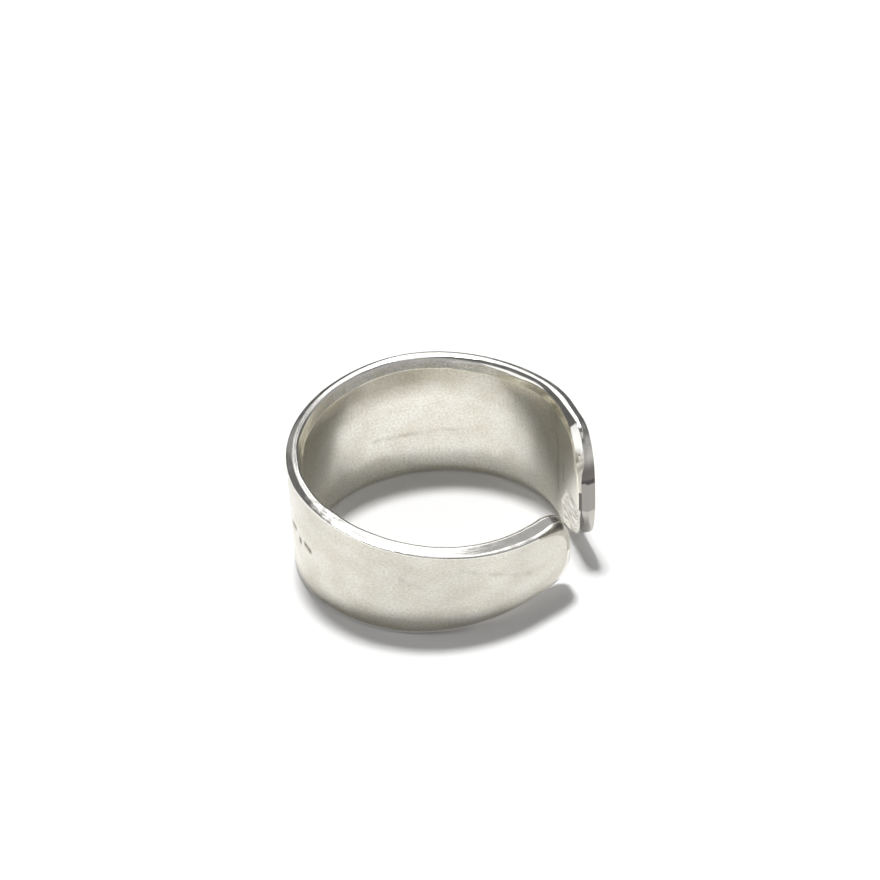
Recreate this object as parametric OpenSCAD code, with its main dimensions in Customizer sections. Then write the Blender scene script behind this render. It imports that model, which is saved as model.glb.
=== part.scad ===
// A finger ring made from the handle of a silver spoon.
// The handle is one flat strip, wide at one end and narrow at the other, bent round a mandrel.
// The last few millimetres at each end stay straight, so the two rounded ends stand a little
// outside the circle with a gap between them.
// The ring lies on its side: its lower edge is flat on the surface but for the two ends, and its
// upper edge slopes down towards the narrow end. The gap points towards +X and -Y.
// Units are millimetres, +Z is up, and the surface it lies on is z = 0.

/* [Finger hole] */
// Radius of the finger hole, the inside of the bend
hole_r = 9.05; // [7.5:0.05:10.5]

/* [Handle] */
// Thickness of the strip
wall_t = 1.3; // [1:0.05:1.8]
// Width of the strip where it is widest, at the wide end
widest = 10.2; // [8:0.1:12]
// Roundness of the edge on the outer face
outer_round = 0.15; // [0.1:0.05:0.4]
// Width of the steep worn bevel on the edge of the inner face
bevel_w = 0.25; // [0.1:0.05:0.4]
// Height of that bevel
bevel_h = 0.5; // [0.2:0.05:0.6]

/* [Bend] */
// Direction in which the bend begins at the wide end, turned from +X
bend_start = 14.5; // [0:0.5:30]
// Angle that the strip is bent through
bend_angle = 292; // [276:1:300]
// Length left straight at the wide end
wide_straight = 5; // [2:0.1:6]
// Length left straight at the narrow end
narrow_straight = 3.9; // [2:0.1:5]

/* [Ends] */
// Length of the wide end's upper corner
wide_corner_up = 3; // [2:0.1:5]
// Length of the wide end's lower corner, which is filed away further
wide_corner_low = 5.9; // [2:0.1:7]
// Length of the narrow end's two corners
narrow_corner = 2.9; // [2:0.1:5]
// Thickness at the lower corner of the wide end's tip, filed thinner from the inside
wide_tip_t = 0.85; // [0.7:0.05:1.3]
// Height of the narrow end's lower side over the surface
narrow_lift = 1.1; // [0:0.1:1.5]
// Height of the wide end's lower side over the surface
wide_lift = 0.2; // [0:0.1:0.5]

/* [Hidden] */

outer_r = hole_r + wall_t;
bend_l = outer_r * bend_angle * PI / 180;
strip_l = wide_straight + bend_l + narrow_straight;

// Height of the upper edge at even steps from the wide end to the narrow one, as a share of
// the widest width
UPPER_SHARE = [1.02, 0.975, 0.982, 0.902, 0.794, 0.653, 0.597];

// How square each corner is: 2 is an ellipse, and more is squarer
WIDE_UP_FULL = 2.6;
WIDE_LOW_FULL = 2.65;
NARROW_UP_FULL = 1.75;
NARROW_LOW_FULL = 2.8;

// Length over which the lower edge rises towards each end, and how late in it the rise comes:
// 1 is even, and more is later
WIDE_RISE_L = 8;
NARROW_RISE_L = 19.5;
RISE_CURVE = 1.2;

// How fast the filed tip grows back to the strip's thickness, in mm for each mm along the strip
// and for each mm up from its lower edge
FILED_ALONG = 0.09;
FILED_UP = 0.1;

// Fineness of the strip: its end zones hold closer stations than its middle
END_ZONE = 7;
END_STATIONS = 14;
MIDDLE_STATIONS = 50;
EDGE_STEP = 30;
HOLE_SIDES = 128;

// How far the strip's rough inside reaches past the finger hole before the hole is cut,
// and the length over which that extra fades out where the strip turns straight
BORE_SPARE = 0.3;
SPARE_FADE = 0.5;
BORE_H = 3 * widest;

function clamp01(x) = min(1, max(0, x));

// Height between the even steps, as a smooth curve through them
function share_row(i) = UPPER_SHARE[min(len(UPPER_SHARE) - 1, max(0, i))];
function smooth_between(before, from, to, after, f) =
    from
    + f * (to - before) / 2
    + f * f * (2 * before - 5 * from + 4 * to - after) / 2
    + f * f * f * (3 * from - before - 3 * to + after) / 2;
function upper_at(s) =
    let (x = clamp01(s / strip_l) * (len(UPPER_SHARE) - 1))
    let (i = min(len(UPPER_SHARE) - 2, floor(x)))
    widest * smooth_between(share_row(i - 1), share_row(i), share_row(i + 1), share_row(i + 2), x - i);

// The lower edge is flat and rises a little towards each end
function rise(distance, length) = pow(1 - clamp01(distance / length), RISE_CURVE);
function lower_at(s) =
    wide_lift * rise(s, WIDE_RISE_L) + narrow_lift * rise(strip_l - s, NARROW_RISE_L);

// Share of the half width that is left near a rounded end, at a distance from its tip
function corner(distance, length, fullness) =
    pow(1 - pow(1 - clamp01(distance / length), fullness), 1 / fullness);

// Height of the outline over the surface, on the upper side or the lower one, pulled in all
// round by an inset: the middle of the strip, plus or minus what the corners leave of half its width
function outline(s, up, inset) =
    let (wide_l = up ? wide_corner_up : wide_corner_low)
    let (wide_full = up ? WIDE_UP_FULL : WIDE_LOW_FULL)
    let (narrow_full = up ? NARROW_UP_FULL : NARROW_LOW_FULL)
    (upper_at(s) + lower_at(s)) / 2
    + (up ? 1 : -1)
    * ((upper_at(s) - lower_at(s)) / 2 - inset)
    * corner(s - inset, wide_l - inset, wide_full)
    * corner(strip_l - inset - s, narrow_corner - inset, narrow_full);

// A point of the bent strip, from its distance along the strip, its depth under the outer face
// and its height over the surface
function turn_at(s) = bend_start + clamp01((s - wide_straight) / bend_l) * bend_angle;
function past_bend(s) = s < wide_straight ? s - wide_straight : max(0, s - wide_straight - bend_l);
function bent(s, depth, z) =
    let (turn = turn_at(s))
    let (r = outer_r - depth)
    let (p = past_bend(s))
    [r * cos(turn) - p * sin(turn), r * sin(turn) + p * cos(turn), z];

// Thickness of the strip, which a flat file has thinned at the wide end's lower corner
function thickness_at(s, z) = min(wall_t, wide_tip_t + FILED_ALONG * s + FILED_UP * z);

// The edge from the outer face to the inner one, as steps of [share of the wall, extra depth,
// inset]: the share is 0 for steps measured from the outer face, and 1 from the inner one
function spare_at(s) =
    BORE_SPARE
    * clamp01((s - wide_straight) / SPARE_FADE + 1)
    * clamp01((wide_straight + bend_l - s) / SPARE_FADE + 1);
function edge_steps(s) = concat(
    [for (g = [0:EDGE_STEP:90]) outer_round * [0, 1 - cos(g), 1 - sin(g)]],
    [for (g = [0:EDGE_STEP:90 - EDGE_STEP]) [1, bevel_w * (sin(g) - 1), bevel_h * (1 - cos(g))]],
    [[1, spare_at(s), bevel_h]]
);
STEPS = len(edge_steps(0));

// Stations along the strip as shares of its length, from tip to tip
zone = END_ZONE / strip_l;
STATIONS = concat(
    [for (i = [0:END_STATIONS - 1]) zone * pow(i / END_STATIONS, 2)],
    [for (i = [0:MIDDLE_STATIONS]) zone + (1 - 2 * zone) * i / MIDDLE_STATIONS],
    [for (i = [END_STATIONS - 1:-1:0]) 1 - zone * pow(i / END_STATIONS, 2)]
);
LAST = len(STATIONS) - 1;

// A point of the strip's skin: station i, edge step k, on the upper side or the lower one
function skin_point(i, k, up) =
    let (step = edge_steps(STATIONS[i] * strip_l)[k])
    let (s = step[2] + STATIONS[i] * (strip_l - 2 * step[2]))
    let (z = outline(s, up, step[2]))
    bent(s, step[0] * thickness_at(s, z) + step[1], z);

// The two tips are single columns of points, and every other station is a closed loop:
// its upper side from the outer face inwards, then its lower side back outwards
skin_points = concat(
    [for (k = [0:STEPS - 1]) skin_point(0, k, true)],
    [for (i = [1:LAST - 1]) each concat(
        [for (k = [0:STEPS - 1]) skin_point(i, k, true)],
        [for (k = [STEPS - 1:-1:0]) skin_point(i, k, false)]
    )],
    [for (k = [0:STEPS - 1]) skin_point(LAST, k, true)]
);
function tip_step(j) = j < STEPS ? j : 2 * STEPS - 1 - j;
function skin_index(i, j) =
    let (round = j % (2 * STEPS))
    i == 0
        ? tip_step(round)
        : STEPS + (i - 1) * 2 * STEPS + (i == LAST ? tip_step(round) : round);
function is_triangle(t) = t[0] != t[1] && t[1] != t[2] && t[2] != t[0];
skin_faces = [
    for (i = [0:LAST - 1])
        for (j = [0:2 * STEPS - 1])
            for (t = [
                [skin_index(i, j), skin_index(i, j + 1), skin_index(i + 1, j + 1)],
                [skin_index(i, j), skin_index(i + 1, j + 1), skin_index(i + 1, j)]
            ])
                if (is_triangle(t)) t
];

// The origin is in the middle of the ring's footprint, on the surface
function column(c) = [for (p = skin_points) p[c]];
origin_x = (min(column(0)) + max(column(0))) / 2;
origin_y = (min(column(1)) + max(column(1))) / 2;
origin_z = min(column(2));

module band() {
    color("gainsboro")
    translate([-origin_x, -origin_y, -origin_z])
    difference() {
        polyhedron(points = skin_points, faces = skin_faces);
        cylinder(r = hole_r, h = BORE_H, center = true, $fn = HOLE_SIDES);
    }
}

band();
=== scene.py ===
# %% [markdown]
# # A spoon ring
# This ring was the handle of a silver spoon. A silversmith cuts the handle off, files its two ends
# round, bends the flat strip round a steel mandrel and polishes the edges. It lies on its side on a
# white table, and we look down into it.
#
# The imported CAD solid is our frame: it says where the ring is and how big it may be. We load it
# first.

import math

import bmesh
import bpy
import numpy as np
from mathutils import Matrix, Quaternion, Vector


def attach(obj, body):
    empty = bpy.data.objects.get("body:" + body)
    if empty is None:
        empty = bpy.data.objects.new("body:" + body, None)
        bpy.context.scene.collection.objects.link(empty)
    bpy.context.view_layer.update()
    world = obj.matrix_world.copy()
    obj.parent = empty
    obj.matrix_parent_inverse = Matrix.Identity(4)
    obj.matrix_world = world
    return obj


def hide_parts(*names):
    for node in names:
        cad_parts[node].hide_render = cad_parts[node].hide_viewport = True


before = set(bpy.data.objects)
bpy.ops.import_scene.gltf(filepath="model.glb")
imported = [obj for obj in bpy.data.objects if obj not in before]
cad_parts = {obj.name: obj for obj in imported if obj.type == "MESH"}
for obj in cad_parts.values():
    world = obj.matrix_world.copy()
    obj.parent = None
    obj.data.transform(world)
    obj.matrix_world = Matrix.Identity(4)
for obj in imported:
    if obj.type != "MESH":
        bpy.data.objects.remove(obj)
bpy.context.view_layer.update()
MM = 0.001

# %% [markdown]
# ## The camera
# A product photograph of a small thing is taken from about a hand's length away, looking down at
# the table at about 34 degrees. The numbers below say it in words that a photographer would use:
# how high the camera is above the horizon, how far away, and how much it is rolled. A quaternion
# made from the viewing direction keeps the picture upright, and the roll is a last small turn.

# %% Place the camera
CAMERA_AZIMUTH = 0.0        # degrees that the view turns from +Y towards +X
CAMERA_ELEVATION = 34.147   # degrees above the table
CAMERA_ROLL = -2.997        # degrees that the picture's own right rises over the horizon
CAMERA_DISTANCE = 188.78 * MM
LOOK_AT = Vector((0.081, 13.416, 0.0)) * MM     # the point of the table in the picture's middle
LENS, SENSOR = 100.94, 36.0     # millimetres

a, e = math.radians(CAMERA_AZIMUTH), math.radians(CAMERA_ELEVATION)
view_line = Vector((math.sin(a) * math.cos(e), math.cos(a) * math.cos(e), -math.sin(e)))
camera_data = bpy.data.cameras.new("photo_camera")
camera_data.lens, camera_data.sensor_width = LENS, SENSOR
camera_data.clip_start, camera_data.clip_end = 5 * MM, 5.0
camera = bpy.data.objects.new("photo_camera", camera_data)
camera.location = LOOK_AT - CAMERA_DISTANCE * view_line
camera.rotation_mode = "QUATERNION"
camera.rotation_quaternion = (
    Quaternion(view_line, math.radians(-CAMERA_ROLL)) @ view_line.to_track_quat("-Z", "Y")
)
bpy.context.scene.collection.objects.link(camera)
bpy.context.scene.camera = camera
print("camera at, in mm:", [round(v / MM, 1) for v in camera.location])

# %% [markdown]
# ## The flat strip
# Before it is bent, the handle is a flat strip: wide where the handle's end was, narrow towards the
# bowl, with both ends filed round. We could draw its outline with a curve object, but a formula
# is easier to bend afterwards, so the outline is an upper and a lower edge at each distance `s`
# from the wide end, drawn together near each tip. The lower edge is almost straight, because the
# ring stands on it, and rises a little towards each tip.
#
# All sizes here are in millimetres. They are the CAD source's own, but for the two tips: the wide
# tip's lower corner is a touch squarer, and the narrow tip is longer and squarer, with a lower edge
# that begins to rise closer to it.

# %% The strip's sizes
HOLE_R = 9.05
WALL = 1.3
WIDEST = 10.2
SKIN = 0.012                # the dressed outer face and top lie this far inside the solid's
LONGER = 0.4                # extra length dressed on to the narrow tip
OUTER_R = HOLE_R + WALL
BEND_START, BEND_ANGLE = math.radians(14.5), math.radians(292)
WIDE_STRAIGHT, NARROW_STRAIGHT = 5.0, 3.9
BEND_LENGTH = OUTER_R * BEND_ANGLE
STRIP = WIDE_STRAIGHT + BEND_LENGTH + NARROW_STRAIGHT + LONGER
UPPER_SHARES = [1.02, 0.975, 0.982, 0.902, 0.794, 0.653, 0.597]     # of WIDEST, evenly along
WIDE_LIFT, WIDE_RISE = 0.2, 8           # the lower edge's rise at the wide tip, and its length
NARROW_LIFT, NARROW_RISE = 1.1, 13.5    # the same at the narrow tip
RISE_CURVE = 1.2                        # 1 is an even rise, and more comes later
WIDE_LENGTHS, WIDE_FULLNESS = (3.0, 5.7), (2.6, 2.85)       # upper corner, lower corner
NARROW_LENGTHS, NARROW_FULLNESS = (2.3, 2.6), 2.9
print(f"the strip is {STRIP:.1f} mm long and {WIDEST} mm wide")


# %% Smooth curves through a few values
def between(p, q, r, t, f):
    """The value a share f of the way from q to r, where p comes before them and t after: the
    cubic whose slope at each value is half the difference of its two neighbours."""
    return (q + f * (r - p) / 2 + f**2 * (2 * p - 5 * q + 4 * r - t) / 2
            + f**3 * (3 * q - p - 3 * r + t) / 2)


def smooth_row(row, share):
    """A smooth curve through an evenly spaced row of values. share runs from 0 at the first to 1
    at the last; the whole part of its place picks four neighbours, and the rest goes between."""
    row = np.asarray(row, float)
    place = np.clip(share, 0, 1) * (len(row) - 1)
    i = np.minimum(len(row) - 2, np.floor(place)).astype(int)
    neighbours = (row[np.clip(i + k, 0, len(row) - 1)] for k in (-1, 0, 1, 2))
    return between(*neighbours, place - i)


def bell(distance, width):
    """One at no distance and fading either way: e to the minus square of distance over width."""
    return np.exp(-((distance / width) ** 2))


# %% Width and rounded ends
def corner(distance, length, fullness):
    """Share of the half width that is left at a distance from the tip: one minus what remains of
    the corner's length, raised to the fullness, all under that root. Fullness 2 is an ellipse, and
    more is squarer."""
    return (1 - (1 - np.clip(distance / length, 0, 1)) ** fullness) ** (1 / fullness)


def outline(s, upper, inset=0.0):
    """Height over the table of the upper edge or the lower one, pulled in all round by an inset.
    The two edges' mean, plus or minus half their difference times the rounding at the wide tip
    and at the narrow tip. The wide end's lower corner is filed away further than its upper one."""
    top = WIDEST * smooth_row(UPPER_SHARES, s / STRIP) - SKIN
    bottom = (WIDE_LIFT * (1 - np.clip(s / WIDE_RISE, 0, 1)) ** RISE_CURVE
              + NARROW_LIFT * (1 - np.clip((STRIP - s) / NARROW_RISE, 0, 1)) ** RISE_CURVE)
    wide_length, wide_full = np.where(upper, *WIDE_LENGTHS), np.where(upper, *WIDE_FULLNESS)
    narrow_length = np.where(upper, *NARROW_LENGTHS)
    return (top + bottom) / 2 + np.where(upper, 1, -1) * (
        ((top - bottom) / 2 - inset)
        * corner(s - inset, wide_length - inset, wide_full)
        * corner(STRIP - inset - s, narrow_length - inset, NARROW_FULLNESS))


for mark in (0.25, 0.5, 0.75):
    width = outline(STRIP * mark, True) - outline(STRIP * mark, False)
    print(f"{float(width):.2f} mm wide at {mark:.0%} of the way to the narrow tip")

# %% [markdown]
# ## Hand work
# Nothing on a hand-made ring is quite even. A short row of random numbers, joined by a smooth
# curve, wanders as a hand does: it gives the file's slips along the edges and the low bumps that
# the mallet left. The seed is fixed, so that the ring is the same each time.


# %% A wandering line and a wandering face
TALLEST = 12                # millimetres, more than the strip is wide


def wander(s, step, amount, seed):
    """A smooth random curve along the strip: one value between -amount and amount for each step
    millimetres, joined by smooth_row."""
    count = int(STRIP / step) + 2
    return smooth_row(np.random.default_rng(seed).uniform(-amount, amount, count), s / STRIP)


def low_waves(s, z, step, amount, seed):
    """Smooth random bumps over a face: a grid of values between -amount and amount, step
    millimetres apart both ways, joined by a smooth curve along the strip in each of the four
    nearest rows, and then by another one across those rows. The level is kept far enough inside
    the grid that all four rows are there."""
    across_rows, along_rows = int(TALLEST / step) + 4, int(STRIP / step) + 2
    grid = np.random.default_rng(seed).uniform(-amount, amount, (along_rows, across_rows))
    level = np.clip(z / step + 1, 1, across_rows - 2.001)
    j = np.floor(level).astype(int)
    place = np.clip(s / STRIP, 0, 1) * (along_rows - 1)
    i = np.minimum(along_rows - 2, np.floor(place)).astype(int)
    rows = []
    for k in (-1, 0, 1, 2):
        neighbours = (grid[np.clip(i + m, 0, along_rows - 1), j + k] for m in (-1, 0, 1, 2))
        rows.append(between(*neighbours, place - i))
    return between(*rows, level - j)


# %% [markdown]
# ## The edge
# The edges show most of the work. Seen in section from the outer face inwards, the edge is a small
# rounded corner, an outer slant left by the file, a polished flat, a short inner slant and a
# steep worn bevel down to the inner face. We describe it by the way the surface turns: -90
# degrees on the outer face, 0 where it lies level, and +90 on the inner face. Adding up many
# small steps in the turning direction draws the section, as a tailor's curve is drawn by its bends.
#
# The slants' angles and lengths change along the ring, because a hand held the file. From the left
# round to the narrow tip the flat leans outward, so that it shows wide from the front. The bevel is
# widest from the back to the left, where it is worn most, and almost gone at the front.

# %% How the file slipped, and how the edge ends at the tips
SLIP_STEP, SLIP_TURN = 1.3, 4           # the bevel's turn slips by up to 4 degrees, each 1.3 mm
NICK_STEP, NICK_SIZE = 0.7, 0.03        # and its length by up to 0.03 mm, each 0.7 mm
BEVEL_AT_TIP, BEVEL_FADE = 0.1, 1.6     # the bevel shrinks to 0.1 mm towards the wide tip
SLANT_AT_TIP, SLANT_FADE = 0.3, 0.16    # the inner slant shrinks to 0.3 of its length there
NARROW_ROUND, ROUND_FADE = 0.62, 2.0    # the outer corner's extra radius at the narrow tip
INNER_ROUND = 0.1                       # radius between the bevel and the inner face


# %% Draw the edge's section at every station
def arc(radius, start, end):
    """Length of an arc: its radius times its turn, which is given in degrees."""
    return radius * np.radians(np.abs(end - start))


def edge_section(s, rows, corner_radius, seed):
    """Depth under the outer face and inset from the outline, for every station (rows) and every
    step of the edge (columns). Each stretch has a turn at its start and end and a length; a step
    adds its length times the cosine of the turn to the depth and times the sine to the inset. The
    flat takes the length that the others leave of the wall. Last, the insets are shifted so that
    the highest step lies on the outline."""
    worn = {name: smooth_row(row, s / STRIP) for name, row in rows.items()}
    slant, flat, inner = -worn["outer_slant"], worn["flat_tilt"], worn["inner_slant"]
    bevel = worn["bevel_turn"] + wander(s, SLIP_STEP, SLIP_TURN, seed)
    nicked = worn["bevel"] + wander(s, NICK_STEP, NICK_SIZE, seed + 1)
    bevel_length = BEVEL_AT_TIP + (1 - bell(s, BEVEL_FADE)) * nicked
    inner_length = worn["inner_length"] * (
        SLANT_AT_TIP + (1 - SLANT_AT_TIP) * (1 - bell(s, SLANT_FADE)))
    corner_r = corner_radius + NARROW_ROUND * bell(STRIP - s, ROUND_FADE)
    soft_r = worn["softness"]
    ninety = np.full_like(s, 90.0)
    stretches = [  # turn at the start, turn at the end, length, steps
        [-ninety, slant, arc(corner_r, -ninety, slant), 6],
        [slant, slant, worn["outer_length"], 3],
        [slant, flat, arc(soft_r, slant, flat), 3],
        [flat, flat, None, 4],
        [flat, inner, arc(soft_r * 0.5, flat, inner), 2],
        [inner, inner, inner_length, 3],
        [inner, bevel, arc(soft_r, inner, bevel), 3],
        [bevel, bevel, bevel_length, 4],
        [bevel, ninety, arc(INNER_ROUND, bevel, ninety), 4],
    ]
    turns, lengths = [], []
    for start, end, length, steps in stretches:
        middle = (np.arange(steps) + 0.5) / steps
        turns.append(np.radians(start[:, None] + (end - start)[:, None] * middle))
        lengths.append(None if length is None else np.repeat(length[:, None] / steps, steps, 1))
    taken = sum((np.cos(t) * l).sum(1) for t, l in zip(turns, lengths) if l is not None)
    open_one = [l is None for l in lengths].index(True)
    steps = turns[open_one].shape[1]
    flat_length = (WALL - taken) / np.cos(np.radians(flat))
    lengths[open_one] = np.repeat(flat_length[:, None] / steps, steps, 1)
    turns, lengths = np.concatenate(turns, 1), np.concatenate(lengths, 1)
    nought = np.zeros((len(s), 1))
    depth = np.concatenate([nought, np.cumsum(np.cos(turns) * lengths, 1)], 1)
    inset = np.concatenate([nought, np.cumsum(np.sin(turns) * lengths, 1)], 1)
    return depth, inset - inset.min(1, keepdims=True)


# %% [markdown]
# ## Stations and columns
# The skin is a grid: stations along the strip, and columns that go once round its section. The
# rounded tips need many close stations and the long bend needs few, so the stations are spread
# evenly along the outline itself, not along the strip.

# %% Lay out the stations
STATIONS = 600
TIP_ZONE = 8.0              # millimetres from each tip in which the trial points crowd towards it
TRIALS = 4000
crowded = np.linspace(0, 1, TRIALS) ** 3
fine = np.concatenate([TIP_ZONE * crowded,
                       np.linspace(TIP_ZONE, STRIP - TIP_ZONE, TRIALS)[1:-1],
                       STRIP - TIP_ZONE * crowded[::-1]])
upper_rise, lower_rise = (np.abs(np.diff(outline(fine, np.full(fine.shape, upper))))
                          for upper in (True, False))
travelled = np.concatenate([
    [0], np.cumsum(np.hypot(np.diff(fine), (upper_rise + lower_rise) / 2))])
stations = np.interp(np.linspace(0, travelled[-1], STATIONS), travelled, fine) / STRIP
print(f"{STATIONS} stations, {travelled[-1] / STATIONS:.2f} mm apart along the outline")

# %% How the edges are worn
# Each row has thirteen values from the wide tip to the narrow one, about 5 mm apart. Slants, tilts
# and turns are in degrees, lengths and the softness, a radius, in millimetres.
UPPER_EDGE = {
    "outer_slant": [18, 19, 18, 15, 10, 17, 22, 24, 16, 8, 9, 15, 15],
    "outer_length": [0.45, 0.32, 0.32, 0.22, 0.14, 0.3, 0.38, 0.42, 0.32, 0.14, 0.1, 0.26, 0.12],
    "inner_slant": [46, 32, 23, 26, 28, 26, 22, 22, 22, 14, 12, 12, 12],
    "inner_length": [0.66, 0.3, 0.34, 0.2, 0.05, 0.1, 0.2, 0.2, 0.2, 0.1, 0.1, 0.12, 0.12],
    "flat_tilt": [8, 4, 0, 0, 0, -4, -10, -9, -10, -7, -10, -22, -24],
    "softness": [0.1, 0.2, 0.3, 0.2, 0.1, 0.15, 0.08, 0.08, 0.1, 0.2, 0.2, 0.2, 0.15],
    "bevel": [0.36, 0.36, 0.4, 0.54, 0.6, 0.6, 0.6, 0.85, 0.8, 0.3, 0.05, 0.05, 0.05],
    "bevel_turn": [62, 72, 80, 74, 62, 62, 67, 73, 73, 66, 62, 62, 62],
}
# The lower edge was only broken with the file, so its slants and its bevel are the same all along.
LOWER_EVEN = {"outer_slant": 3, "outer_length": 0.1, "inner_slant": 16, "inner_length": 0.14,
              "bevel": 0.36, "bevel_turn": 62}
LOWER_EDGE = {name: [LOWER_EVEN[name]] * len(row) if name in LOWER_EVEN else row
              for name, row in UPPER_EDGE.items()}
UPPER_ROUND, LOWER_ROUND = 0.1, 0.07    # radius of the corner at the outer face
UPPER_SEED, LOWER_SEED = 11, 23

# %% Depth and inset of both edges
s_line = stations * STRIP
upper_depth, upper_inset = edge_section(s_line, UPPER_EDGE, UPPER_ROUND, UPPER_SEED)
lower_depth, lower_inset = edge_section(s_line, LOWER_EDGE, LOWER_ROUND, LOWER_SEED)
# At each tip the two edges meet, so the lower one takes the upper one's section there, within half
# a millimetre at the wide tip and about one at the narrow tip.
at_tip = bell(s_line, 0.5) + bell(STRIP - s_line, 1.2)
lower_depth += (upper_depth - lower_depth) * at_tip[:, None]
lower_inset += (upper_inset - lower_inset) * at_tip[:, None]
edge = upper_depth.shape[1]
print(f"each edge has {edge} columns and is up to {upper_inset.max():.2f} mm high")

# %% Join edges and faces into a whole round
FACE_COLUMNS = 48
CROWDING = 0.35             # how far a face's columns crowd towards its edges, from 0 to 1
even = np.linspace(-1, 1, FACE_COLUMNS + 2)[1:-1]
across = np.sin(even * math.pi / 2) * CROWDING + even * (1 - CROWDING)
mix = (across + 1) / 2


def whole_round(lower, upper):
    """The columns once round the section: up the outer face, over the upper edge inwards, down the
    inner face and under the lower edge outwards. A face's column mixes the two edges' values."""
    outer = lower[:, :1] * (1 - mix) + upper[:, :1] * mix
    inner = lower[:, -1:] * (1 - mix) + upper[:, -1:] * mix
    return np.concatenate([outer, upper, inner[:, ::-1], lower[:, ::-1]], 1)


depth = whole_round(lower_depth, upper_depth)
inset = whole_round(lower_inset, upper_inset)
side = np.concatenate([across, np.ones(edge), across[::-1], -np.ones(edge)])
COLUMNS = len(side)
s = inset + stations[:, None] * (STRIP - 2 * inset)
top, bottom = outline(s, True, inset), outline(s, False, inset)
z = (top + bottom) / 2 + side * (top - bottom) / 2
print(f"{COLUMNS} columns round the section, {edge} of them on each edge")

# %% [markdown]
# ## Hammer waves, punched marks and wear
# A strip that was bent with a mallet and rubbed by hand keeps low waves, about a hundredth of a
# millimetre deep, which make its reflections wander. On the left of the outer face stand a few small
# punch marks. A punch pushes the metal in as a round dimple, so each mark is a bell curve added
# to the depth; a short stroke is the same bell curve along a line. Inside, a finger has worn the
# face a little hollow, most under the bevel and not at all at the foot or near the two ends.


# %% Wave the faces and punch the marks
def near_stroke(s, z, start, end, radius):
    """One on a stroke and fading away from it: a bell curve of the distance to the line between
    two points of the strip, given as (s, z) in millimetres."""
    (s0, z0), (s1, z1) = start, end
    length = math.hypot(s1 - s0, z1 - z0)
    along = np.clip(((s - s0) * (s1 - s0) + (z - z0) * (z1 - z0)) / max(length**2, 1e-9), 0, 1)
    gap = np.hypot(s - s0 - along * (s1 - s0), z - z0 - along * (z1 - z0))
    return bell(gap, radius)


PUNCH_MARKS = [((37.2, 4.25), (38.0, 4.4), 0.2), ((38.85, 3.8), (38.85, 3.95), 0.2),
               ((39.75, 4.1), (40.45, 3.95), 0.17)]     # start, end and radius of each
PUNCH_DEPTH = 0.06
WAVE_ROOM = 0.012           # the outer face is set in, so that its waves stay inside the solid
column_number = np.arange(COLUMNS)
on_outer = column_number < FACE_COLUMNS
on_inner = (column_number >= FACE_COLUMNS + edge) & (column_number < 2 * FACE_COLUMNS + edge)
fade = 1 - np.abs(side) ** 6            # the waves die out towards the edges
outer_waves = low_waves(s, z, 3.0, 0.012, 5) + low_waves(s, z, 1.1, 0.004, 6)
inner_waves = low_waves(s, z, 2.6, 0.014, 7) + low_waves(s, z, 0.9, 0.004, 8)
marked = sum(near_stroke(s, z, *mark) for mark in PUNCH_MARKS)
depth = depth + on_outer * fade * (WAVE_ROOM + outer_waves) - on_inner * fade * inner_waves
depth = depth + on_outer * PUNCH_DEPTH * np.minimum(marked, 1)
print("deepest mark:", round(float((on_outer * depth).max()), 3), "mm")

# %% Wear the inner face hollow
HOLLOW, UNDER_BEVEL = 0.13, 0.08        # depth of the wear, and what comes on top of it upwards
WORN_UNTIL, WORN_FADE = 46, 10          # where along the strip it ends, and how fast
# inwards is 0 in the outer half of the wall and 1 on the inner face. The next two are 0 at the top
# or the foot and 1 from about 2 mm away from it.
inwards = np.clip((depth - 0.7) / 0.5, 0, 1)
below_top = np.clip((outline(s, True) - z) / 2.2, 0, 1)
above_foot = np.clip((z - outline(s, False)) / 1.7, 0, 1)
amid = np.sin(np.clip(np.minimum(s, WORN_UNTIL - s) / WORN_FADE, 0, 1) * math.pi / 2) ** 2
wear = HOLLOW - HOLLOW * (1 - above_foot) ** 2 + UNDER_BEVEL * (1 - below_top) ** 2
depth = depth - inwards * amid * wear
print("most wear:", round(float((inwards * amid * wear).max()), 2), "mm")

# %% [markdown]
# ## The filed tip
# The wide end's lower corner was thinned from the inside with a flat file, which left a pale
# scratched facet. A file takes away everything that stands above its own flat plane, so the points
# there may be no deeper than the plane: one `minimum` does the work of the file. The file stopped
# along three straight lines, and the distance into them gives a small steep step there.
#
# At the narrow end the handle grows thicker towards the spoon's bowl. The depths are stretched
# there, a little before the bend ends and more past it, so that the extra metal lies inside.

# %% File the wide tip
STEP_SLOPE = 0.9            # steepness of the step where the file stopped
FILED_REACH = 8             # millimetres from the tip, past which nothing was filed
# The plane leaves 0.8 mm at the tip's foot, and more along the strip and upwards. Each stop is the
# distance in millimetres inside its straight line.
file_plane = 0.8 + 0.05 * s + 0.07 * z
along_stop = 0.93 * (3.47 + 0.394 * (z - 1.19) - s)
slanted_stop = 4.65 - 0.726 * s - 0.688 * z
upper_stop = 4.2 - z
into_facet = np.minimum(np.minimum(along_stop, slanted_stop), upper_stop)
facet_cut = np.maximum(file_plane, WALL - STEP_SLOPE * np.maximum(into_facet, 0))
depth = np.minimum(depth, np.where(s < FILED_REACH, facet_cut, WALL))
print("filed points:", int(((into_facet > 0) & (depth > 0.5)).sum()))

# %% Thicken the narrow end
# A tenth of a millimetre comes within the 3 mm after 54, and up to 0.28 more past the bend.
before_end = 0.1 * np.clip((s - 54) / 3, 0, 1)
past_bend = np.maximum(0, s - WIDE_STRAIGHT - BEND_LENGTH)
towards_bowl = np.clip(past_bend**2 / 18, 0, 0.28)
depth = depth * (1 + (before_end + towards_bowl) / WALL)
print("the narrow tip is now", round(float(depth[-1].max()), 2), "mm thick")


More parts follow.
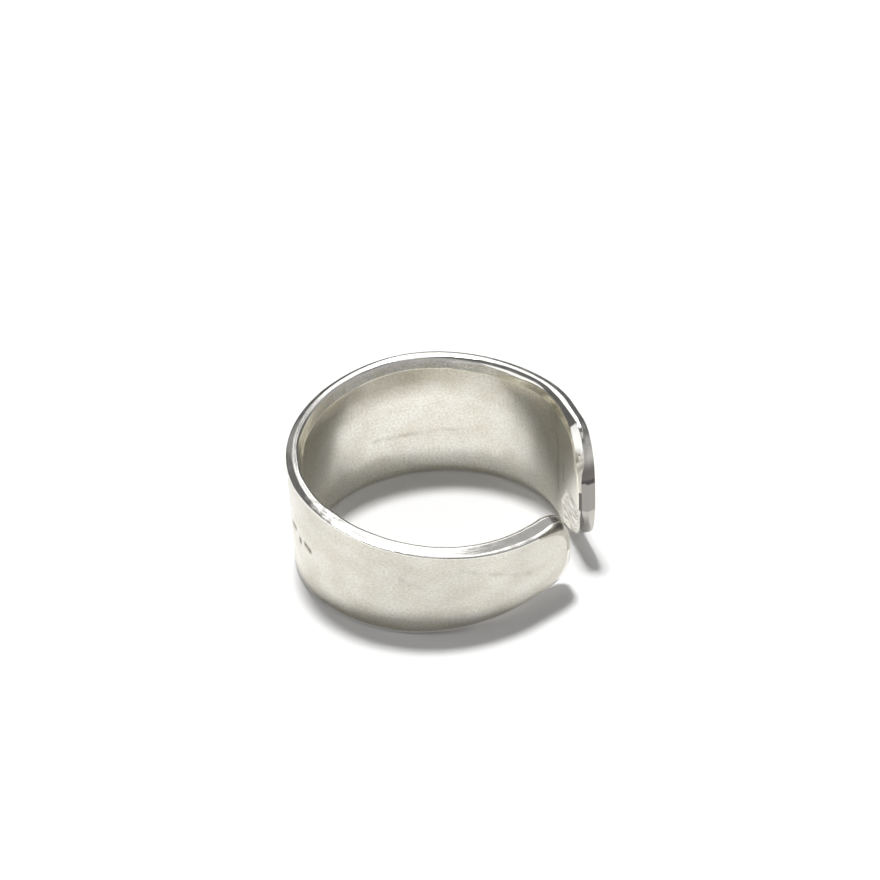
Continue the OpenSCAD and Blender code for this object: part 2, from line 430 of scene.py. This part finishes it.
# %% [markdown]
# ## Bending
# The mandrel turns the strip into an arc that leaves the last few millimetres of each end
# straight. A point of the strip keeps its depth and height, and its distance `s` becomes an angle
# round the mandrel, or a way along the straight end past it.


# %% Bend the strip round the mandrel
def bent(s, depth, z):
    """The strip's point in the ring's own frame. The turn grows evenly along the bend; the radius
    is the outer one less the depth; past the bend the point slides along the tangent."""
    turn = BEND_START + np.clip((s - WIDE_STRAIGHT) / BEND_LENGTH, 0, 1) * BEND_ANGLE
    past = np.where(s < WIDE_STRAIGHT, s - WIDE_STRAIGHT,
                    np.maximum(0, s - WIDE_STRAIGHT - BEND_LENGTH))
    r = OUTER_R - SKIN - depth
    return np.stack([r * np.cos(turn) - past * np.sin(turn),
                     r * np.sin(turn) + past * np.cos(turn), z], -1)


# %% [markdown]
# ## Where the ring lies
# The CAD frame's origin is in the middle of the ring's footprint, and the straight ends push that
# a little away from the middle of the bend, so the skin shifts by the same amount.

# %% Shift the ring to the frame's origin
BEND_MIDDLE = np.array([-0.44422, -0.00368, 0.0])
skin = bent(s, depth, z) + BEND_MIDDLE
corners = skin.reshape(-1, 3).min(0), skin.reshape(-1, 3).max(0)
print("the skin's box in mm:", *(corner_point.round(3) for corner_point in corners))

# %% [markdown]
# ## From a grid to a mesh
# The columns close on themselves, so each grid cell joins a column with the next one round. At the
# two tips the upper and lower halves meet, so the last loop is folded shut: the points of
# its upper and lower halves are the same, and merging by distance closes the seam.
#
# The UV map is the strip laid flat: the distance along it, and the way round its section, both
# divided by the millimetres of silver that the whole UV square holds.

# %% Make the mesh
row, column = np.meshgrid(np.arange(STATIONS - 1), np.arange(COLUMNS), indexing="ij")
following = (column + 1) % COLUMNS
quads = np.stack([row * COLUMNS + column, row * COLUMNS + following,
                  (row + 1) * COLUMNS + following, (row + 1) * COLUMNS + column], -1).reshape(-1, 4)
band_mesh = bpy.data.meshes.new("silver_band")
band_mesh.from_pydata((skin.reshape(-1, 3) * MM), [], quads)
print("cells:", len(quads))

# %% Lay the UV map
UV_SPAN = 64.0              # millimetres of silver across the whole UV square
sample = skin[STATIONS // 3]            # a station of full width, whose section measures them all
around = np.concatenate([[0], np.cumsum(np.linalg.norm(np.diff(sample, axis=0), axis=1)), [0]])
around[-1] = around[-2] + np.linalg.norm(sample[0] - sample[-1])
cell_u = np.stack([s_line[row], s_line[row], s_line[row + 1], s_line[row + 1]], -1)
cell_v = np.stack([around[column], around[column + 1], around[column + 1], around[column]], -1)
uv_layer = band_mesh.uv_layers.new(name="along_and_across")
uv_layer.data.foreach_set("uv", (np.stack([cell_u, cell_v], -1) / UV_SPAN).ravel())
print(f"once round the section is {around[-1]:.1f} mm")

# %% [markdown]
# ## Which finish goes where
# Each cell gets a number for its finish: satin for the faces and the worn bevel, polished for the
# edges, filed for the spot inside the wide end, and cut for that end's own face. A second value on
# every point tells how dark the silver is there. It is real tarnish in the punch marks, along a worn
# line inside and on a faint streak across the front. Under the bevel at the back it is a painted
# reflection, at the foot painted shade, on the narrow tip's unpolished corner a painted reflection,
# and on the cut face a painted reflection of the room and the table in front of it: that face stays
# clean at its top, darkens downwards to a sharp line at mid height, and is fainter in two steps
# below it.

# %% Find the cut face and how dark it is
SATIN, POLISHED, FILED, CUT = 0, 1, 2, 3
TO_FLAT = 17                # an edge's first columns, up to the end of its flat
TO_SLANT = 22               # up to the end of its inner slant
BEVEL_STEPS = 8             # its last columns, the worn bevel and the corner after it
edge_step = np.minimum(np.abs(column_number - FACE_COLUMNS),
                       2 * FACE_COLUMNS + 2 * edge - 1 - column_number)
is_edge = ~on_outer & ~on_inner
# Lower down, the dark line along the burr's crease is painted shade.
last_cut = np.where(z < 5.7, TO_SLANT, TO_FLAT)     # lower down, a dark burr lies on the slant too
cut_face_reflection = np.clip((1.3 - s) / 0.4, 0, 1) * (is_edge & (edge_step < last_cut))
# Painted reflection: from z = 9 down the face darkens, as it mirrors the dark room in front, to a
# sharp step, and below it two paler steps mirror the shadowed and the lit table. The steps climb
# 0.12 mm for each mm inwards.
reflection_darkening = np.clip((9.0 - z) / 1.7, 0, 1)
upper_cut_reflection = 0.9 * reflection_darkening**2 * (3 - 2 * reflection_darkening) + 0.1 * (z < 6.6)
lower_cut_reflection = np.where(z > 3.9 + 0.12 * depth, 0.62, 0.33)
cut_face_reflection = cut_face_reflection * np.where(z > 6.25 + 0.12 * depth, upper_cut_reflection, lower_cut_reflection)
# Where the cut face reaches over the slant, it is set to 0.9: a dark line along the crease, painted
# shade.
cut_face_reflection = np.where((cut_face_reflection > 0) & (edge_step >= TO_FLAT), 0.9, cut_face_reflection)
print("points on the cut face:", int((cut_face_reflection > 0).sum()))


# %% Number the finishes
def whole_cells(points):
    """True for a cell between two stations when the points at both of them are true."""
    return points[:-1] & points[1:]


# The wide tip's inner corner is scuffed above the burr, and the narrow tip's outer one unpolished.
scuffed = is_edge & (edge_step > 13) & (edge_step < 23) & (s < 0.6) & (z > 5.6)
unpolished_corner_reflection = is_edge & (edge_step < 6) & (s > STRIP - 3.4)
polished_up = (column >= FACE_COLUMNS) & (column < FACE_COLUMNS + edge - BEVEL_STEPS)
polished_low = column >= 2 * FACE_COLUMNS + edge + BEVEL_STEPS
finish = np.where((polished_up & ~whole_cells(unpolished_corner_reflection)) | polished_low, POLISHED, SATIN)
finish[whole_cells(on_inner & (into_facet > 0.02) & (s < 5))] = FILED
finish[whole_cells(scuffed)] = FILED
finish[whole_cells(cut_face_reflection > 0)] = CUT
band_mesh.polygons.foreach_set("material_index", finish.ravel())
print("cells of each finish:", np.bincount(finish.ravel()))

# %% Paint the tarnish, the shade and the reflections
# Each stroke runs from one point (s, z) of the strip to another, and has a radius in millimetres.
worn_line = near_stroke(s, z, (16.3, 3.95), (19.6, 3.62), 0.12) * 0.4 + near_stroke(
    s, z, (19.6, 3.62), (23.8, 3.75), 0.13)
streak = near_stroke(s, z, (52.6, 5.3), (57.8, 3.3), 0.16) * 0.5 + near_stroke(
    s, z, (48.0, 4.9), (50.6, 3.6), 0.2) * 0.5
tip_streaks = near_stroke(s, z, (4.8, 3.0), (4.7, 7.2), 0.22) * 0.3 + near_stroke(
    s, z, (3.5, 4.4), (3.4, 6.0), 0.14) * 0.35
patchy = 0.5 + low_waves(s, z, 0.45, 0.5, 31)
cloudy = 0.5 + low_waves(s, z, 1.7, 0.5, 32)
# Painted reflection: under the bevel at the back the inner face is darkened, where it mirrors the
# shaded inner face of the front wall.
under_bevel_reflection = np.clip((3.4 - outline(s, True) + z) / 1.6, 0, 1)
reflection_at_back = bell(s - 22, 8)
# Painted shade: the outer face darkens over its last 0.8 mm towards the foot, where it mirrors the
# shadow on the table.
foot_shade = np.clip(1 - (z - outline(s, False)) / 0.8, 0, 1)
on_bevel = is_edge & (edge_step >= edge - BEVEL_STEPS)
inner_tarnish_and_reflection = (0.5 * worn_line * patchy + tip_streaks
                 + 0.6 * under_bevel_reflection * reflection_at_back * (0.85 + 0.2 * cloudy))
outer_tarnish_and_shade = (0.14 + 0.12 * cloudy + 0.4 * foot_shade + np.minimum(marked * 1.3, 1)
                 + 0.5 * streak * patchy)
# On the edges the bevel is a little darker from 3 mm past the wide tip on, and the narrow tip's
# unpolished outer corner is painted darker beige, a painted reflection of the wide end and its
# shadow.
edge_tarnish_and_reflection = 0.06 * on_bevel * np.clip((s - 3) / 2, 0, 1) + 0.45 * unpolished_corner_reflection + cut_face_reflection
# The value holds real tarnish together with the painted shade and reflections above.
tarnish_and_painted_light = np.clip(on_inner * inner_tarnish_and_reflection + on_outer * outer_tarnish_and_shade + edge_tarnish_and_reflection, 0, 1)
tarnish_and_light_layer = band_mesh.attributes.new("tarnish_and_painted_light", "FLOAT", "POINT")
tarnish_and_light_layer.data.foreach_set("value", tarnish_and_painted_light.astype(np.float32).ravel())
print("mean tarnish:", round(float(tarnish_and_painted_light.mean()), 3))

# %% [markdown]
# ## Closing the skin
# The folded tips still have double points. We could weld them one by one in edit mode; merging all
# points that are closer than a two-thousandth of a millimetre does the same at once. Then the faces
# are turned outwards, and smooth shading hides the grid.

# %% Close the tips and smooth the shading
MERGE = 0.0005 * MM
shell = bmesh.new()
shell.from_mesh(band_mesh)
bmesh.ops.remove_doubles(shell, verts=shell.verts, dist=MERGE)
bmesh.ops.recalc_face_normals(shell, faces=shell.faces)
open_edges = sum(1 for x in shell.edges if len(x.link_faces) != 2)
shell.to_mesh(band_mesh)
shell.free()
band_mesh.shade_smooth()
band = bpy.data.objects.new("silver_band", band_mesh)
bpy.context.scene.collection.objects.link(band)
print("faces:", len(band_mesh.polygons), "edges without two faces:", open_edges)


# %% [markdown]
# ## Silver
# Sterling silver is 925 parts in a thousand silver, and the rest copper. Polished it mirrors nearly
# all the light, with the faintest warmth; rubbed with fine steel wool it turns satin, so that what
# it mirrors is blurred. One metal serves for all four finishes, with its default IOR, and what
# differs is its colour, its fine relief and its roughness: about 0.17 where it is polished, 0.23
# where it is satin, 0.34 where it is cut and 0.42 where it is filed.
#
# One small function adds a node with its settings and links, and another turns the colour that a
# designer picks, as sRGB hex, into the linear light that a renderer adds up.


# %% Helpers for materials
def linear(hex_colour):
    """Linear RGBA of an sRGB hex colour: each channel over 0.04045 is raised to 2.4 after the
    offset that the sRGB standard gives, and a darker one is divided by 12.92."""
    channels = np.array([int(hex_colour[i:i + 2], 16) / 255 for i in (1, 3, 5)])
    light = np.where(channels > 0.04045, ((channels + 0.055) / 1.055) ** 2.4, channels / 12.92)
    return (*light.tolist(), 1.0)


def add_node(tree, kind, settings=None, values=None, links=None):
    """Adds a node of a kind, sets its properties and its sockets' values, and links its sockets
    from others, given by name or number."""
    node = tree.nodes.new(kind)
    for name, value in (settings or {}).items():
        setattr(node, name, value)
    for name, value in (values or {}).items():
        node.inputs[name].default_value = value
    for name, source in (links or {}).items():
        tree.links.new(source, node.inputs[name])
    return node


def new_material(name):
    """An empty node material with its output and shader."""
    material = bpy.data.materials.new(name)
    material.use_nodes = True
    material.node_tree.nodes.clear()
    shader = add_node(material.node_tree, "ShaderNodeBsdfPrincipled")
    add_node(material.node_tree, "ShaderNodeOutputMaterial", links={"Surface": shader.outputs[0]})
    return material, material.node_tree, shader


def speckle(tree, place, along, across, detail=2.0, roughness=0.6):
    """Noise whose spots are about along by across millimetres, in the piece's UV."""
    stretch = add_node(tree, "ShaderNodeMapping",
                       values={"Scale": (UV_SPAN / along, UV_SPAN / across, 1)},
                       links={"Vector": place})
    noise = add_node(tree, "ShaderNodeTexNoise", {"noise_dimensions": "2D"},
                     {"Scale": 1.0, "Detail": detail, "Roughness": roughness},
                     {"Vector": stretch.outputs[0]})
    return noise.outputs[0]


def spread(tree, value, low, high, new_low, new_high):
    """Maps a value from low..high to new_low..new_high and stops at both ends."""
    return add_node(tree, "ShaderNodeMapRange",
                    values={"From Min": low, "From Max": high,
                            "To Min": new_low, "To Max": new_high},
                    links={"Value": value}).outputs[0]


# %% [markdown]
# ### Satin faces
# Steel wool leaves grain far finer than a camera sees from here, so we draw it coarser, about a
# fifth of a millimetre, as a bump of a few thousandths of a millimetre, together with rubbed lines
# along the strip. The colour drifts between clean silver and a faint yellow haze of tarnish, in
# patches of two or three millimetres. The pattern lives in the piece's own UV, whose whole square
# is UV_SPAN millimetres of silver, so a grain size turns into a scale by division.

# %% Satin silver
satin, tree, shader = new_material("sterling_silver_satin")
place = add_node(tree, "ShaderNodeUVMap", {"uv_map": "along_and_across"}).outputs[0]
haze = spread(tree, speckle(tree, place, 2.6, 1.8, 4.0), 0.35, 0.7, 0, 1)     # cloudy patches
grain = speckle(tree, place, 0.22, 0.17, 3.0, 0.7)                            # steel wool
rubbed = speckle(tree, place, 1.6, 0.1, 3.0)                                  # lines along it
# Clean silver is almost white, its haze a little yellower, and full tarnish olive brown; the same
# olive brown darkens the painted shade and reflection that the attribute carries.
clean = add_node(tree, "ShaderNodeMix", {"data_type": "RGBA"},
                 {6: linear("#F2F0E7"), 7: linear("#E9E5D8")}, {0: haze}).outputs[2]
grainy = add_node(tree, "ShaderNodeMix", {"data_type": "RGBA", "blend_type": "MULTIPLY"},
                  {0: 1.0}, {6: clean, 7: spread(tree, grain, 0.32, 0.68, 0.82, 1.08)}).outputs[2]
# This attribute is real tarnish together with painted shade and painted reflection.
tarnish_and_light_value = add_node(tree, "ShaderNodeAttribute", {"attribute_name": "tarnish_and_painted_light"}).outputs["Fac"]
silver = add_node(tree, "ShaderNodeMix", {"data_type": "RGBA"}, {7: linear("#62563B")},
                  {0: tarnish_and_light_value, 6: grainy}).outputs[2]
relief = add_node(tree, "ShaderNodeMath", {"operation": "MULTIPLY_ADD"}, {1: 0.6},
                  {0: rubbed, 2: grain}).outputs[0]
bump = add_node(tree, "ShaderNodeBump", values={"Strength": 1.0, "Distance": 0.0035 * MM},
                links={"Height": relief}).outputs[0]
tree.links.new(silver, shader.inputs["Base Color"])
tree.links.new(spread(tree, haze, 0, 1, 0.19, 0.27), shader.inputs["Roughness"])
tree.links.new(bump, shader.inputs["Normal"])
shader.inputs["Metallic"].default_value = 1.0
band_mesh.materials.append(satin)
print(satin.name, "has", len(tree.nodes), "nodes")

# %% [markdown]
# ### Polished edges
# The edges were polished on a felt wheel, so they mirror the room sharply; they still show fine
# file marks that run along the edge.

# %% Polished silver
polished, tree, shader = new_material("sterling_silver_polished")
place = add_node(tree, "ShaderNodeUVMap", {"uv_map": "along_and_across"}).outputs[0]
marks = speckle(tree, place, 1.6, 0.1, 3.0)     # file marks 1.6 mm long, 0.1 mm apart
dull = speckle(tree, place, 0.8, 0.3, 3.0)      # spots where the polish is duller
bump = add_node(tree, "ShaderNodeBump", values={"Strength": 1.0, "Distance": 0.005 * MM},
                links={"Height": marks}).outputs[0]
tree.links.new(spread(tree, dull, 0.4, 0.7, 0.12, 0.22), shader.inputs["Roughness"])
tree.links.new(bump, shader.inputs["Normal"])
shader.inputs["Base Color"].default_value = linear("#F0EEE9")
shader.inputs["Metallic"].default_value = 1.0
band_mesh.materials.append(polished)
print(polished.name, "has", len(tree.nodes), "nodes")

# %% [markdown]
# ### The filed spot
# Fresh file strokes scatter light in all directions, so this spot looks paler and duller than the
# silver round it. They run slantwise over it, about a sixth of a millimetre apart.

# %% Filed silver
filed, tree, shader = new_material("sterling_silver_filed")
place = add_node(tree, "ShaderNodeUVMap", {"uv_map": "along_and_across"}).outputs[0]
turned = add_node(tree, "ShaderNodeMapping", values={"Rotation": (0, 0, math.radians(35))},
                  links={"Vector": place}).outputs[0]
strokes = speckle(tree, turned, 1.2, 0.16, 3.0)
bump = add_node(tree, "ShaderNodeBump", values={"Strength": 1.0, "Distance": 0.03 * MM},
                links={"Height": strokes}).outputs[0]
# The strokes' beds are grey and their crests nearly white.
scratched = add_node(tree, "ShaderNodeMix", {"data_type": "RGBA"},
                     {6: linear("#B9B2A8"), 7: linear("#F7F5F0")},
                     {0: spread(tree, strokes, 0.38, 0.56, 0, 1)}).outputs[2]
tree.links.new(scratched, shader.inputs["Base Color"])
tree.links.new(bump, shader.inputs["Normal"])
shader.inputs["Roughness"].default_value = 0.42
shader.inputs["Metallic"].default_value = 1.0
band_mesh.materials.append(filed)
print(filed.name, "has", len(tree.nodes), "nodes")

# %% [markdown]
# ### The cut end
# Where the handle was sawn through and filed flat, nobody polished it. It is duller than the edges,
# with fine strokes across it, and the painted reflection set above darkens it in steps.

# %% Cut silver
cut, tree, shader = new_material("sterling_silver_cut_end")
place = add_node(tree, "ShaderNodeUVMap", {"uv_map": "along_and_across"}).outputs[0]
tarnish_and_light_value = add_node(tree, "ShaderNodeAttribute", {"attribute_name": "tarnish_and_painted_light"}).outputs["Fac"]
# From bare silver to the dark grey of the painted reflection and shade.
cut_colour_and_reflection = add_node(tree, "ShaderNodeMix", {"data_type": "RGBA"},
                  {6: linear("#E6E3DA"), 7: linear("#524E4F")}, {0: tarnish_and_light_value}).outputs[2]
strokes = speckle(tree, place, 0.12, 1.5, 3.0)
bump = add_node(tree, "ShaderNodeBump", values={"Strength": 1.0, "Distance": 0.004 * MM},
                links={"Height": strokes}).outputs[0]
tree.links.new(cut_colour_and_reflection, shader.inputs["Base Color"])
tree.links.new(bump, shader.inputs["Normal"])
shader.inputs["Roughness"].default_value = 0.34
shader.inputs["Metallic"].default_value = 1.0
band_mesh.materials.append(cut)
print(cut.name, "has", len(tree.nodes), "nodes")

# %% [markdown]
# ## Table and light
# The table is plain white card. The main lamp hangs almost straight overhead and a little behind,
# about ten degrees wide as the ring sees it, which gives the short soft shadows.
#
# The other lights are there to be mirrored. A large soft panel behind fills the edge's flat. A
# window at the left whitens the inner slant of the wide end, and a small card over the camera
# carries that white on over the tip. Two faint cards, at the back left and at the right, keep other
# slants from going black. The room around is grey in front and darker behind and above, which
# draws the dark lines beside the bright flat.

# %% The table
bpy.ops.mesh.primitive_plane_add(size=3.0, location=(0, 0, 0))
table = bpy.context.object
table.name = "white_table"
card, tree, shader = new_material("white_card")
shader.inputs["Base Color"].default_value = linear("#F0F0F0")
shader.inputs["Roughness"].default_value = 0.9
shader.inputs["Specular IOR Level"].default_value = 0.1
table.data.materials.append(card)
print("the table is", round(table.dimensions.x, 1), "m wide")


# %% The lights
LIGHT_DISTANCE = 0.6


def soft_light(name, azimuth, elevation, width, height, radiance, shape="RECTANGLE"):
    """A panel that looks at the ring from an azimuth (from +Y towards +X) and an elevation. Its
    power is its brightness times pi times its area."""
    data = bpy.data.lights.new(name, "AREA")
    data.shape, data.size, data.size_y = shape, width, height
    area = width * height * (math.pi / 4 if shape == "ELLIPSE" else 1)
    data.energy = radiance * math.pi * area
    light = bpy.data.objects.new(name, data)
    a, e = math.radians(azimuth), math.radians(elevation)
    way = Vector((math.sin(a) * math.cos(e), math.cos(a) * math.cos(e), math.sin(e)))
    light.location = way * LIGHT_DISTANCE
    light.rotation_mode = "QUATERNION"
    light.rotation_quaternion = way.to_track_quat("Z", "Y")
    bpy.context.scene.collection.objects.link(light)
    print(f"{name}: {data.energy:.2f} W")


soft_light("overhead_lamp", -10.8, 74.2, 0.1, 0.1, 132, "ELLIPSE")
soft_light("back_panel", 2.5, 43, 0.36, 0.32, 1.6)
soft_light("left_window", -101, 20, 0.74, 0.5, 0.8)
soft_light("left_wall", -28, 30, 0.19, 0.25, 0.2)
soft_light("right_card", 70, 56, 0.62, 0.3, 0.28)
soft_light("front_card", 166, 60, 0.12, 0.26, 1.0)

# %% The room around
# The world's own direction says where a ray leaves: its Y runs from the camera's side to the back,
# and its Z up to the ceiling. The walls darken between a Y of -0.1 and 0.4, and the ceiling takes
# over from them between a Z of 0.42 and 0.65.
FRONT_GREY, BACK_GREY, CEILING_GREY = 0.41, 0.12, 0.14
world = bpy.data.worlds.new("grey_room")
bpy.context.scene.world = world
world.use_nodes = True
room = world.node_tree
way = add_node(room, "ShaderNodeTexCoord").outputs["Generated"]
parts = add_node(room, "ShaderNodeSeparateXYZ", links={0: way}).outputs
walls = add_node(room, "ShaderNodeMapRange",
                 values={"From Min": -0.1, "From Max": 0.4,
                         "To Min": FRONT_GREY, "To Max": BACK_GREY},
                 links={"Value": parts["Y"]}).outputs[0]
height = add_node(room, "ShaderNodeMapRange",
                  values={"From Min": 0.42, "From Max": 0.65, "To Min": 0.0, "To Max": 1.0},
                  links={"Value": parts["Z"]}).outputs[0]
shade = add_node(room, "ShaderNodeMix", values={3: CEILING_GREY},
                 links={0: height, 2: walls}).outputs[0]
room.links.new(shade, room.nodes["Background"].inputs["Color"])
print("the room's greys, front, back and ceiling:", FRONT_GREY, BACK_GREY, CEILING_GREY)
bpy.context.scene.view_settings.view_transform = "Standard"     # white card stays white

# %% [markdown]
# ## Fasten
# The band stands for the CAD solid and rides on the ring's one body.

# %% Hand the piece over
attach(band, "root")
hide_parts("band")
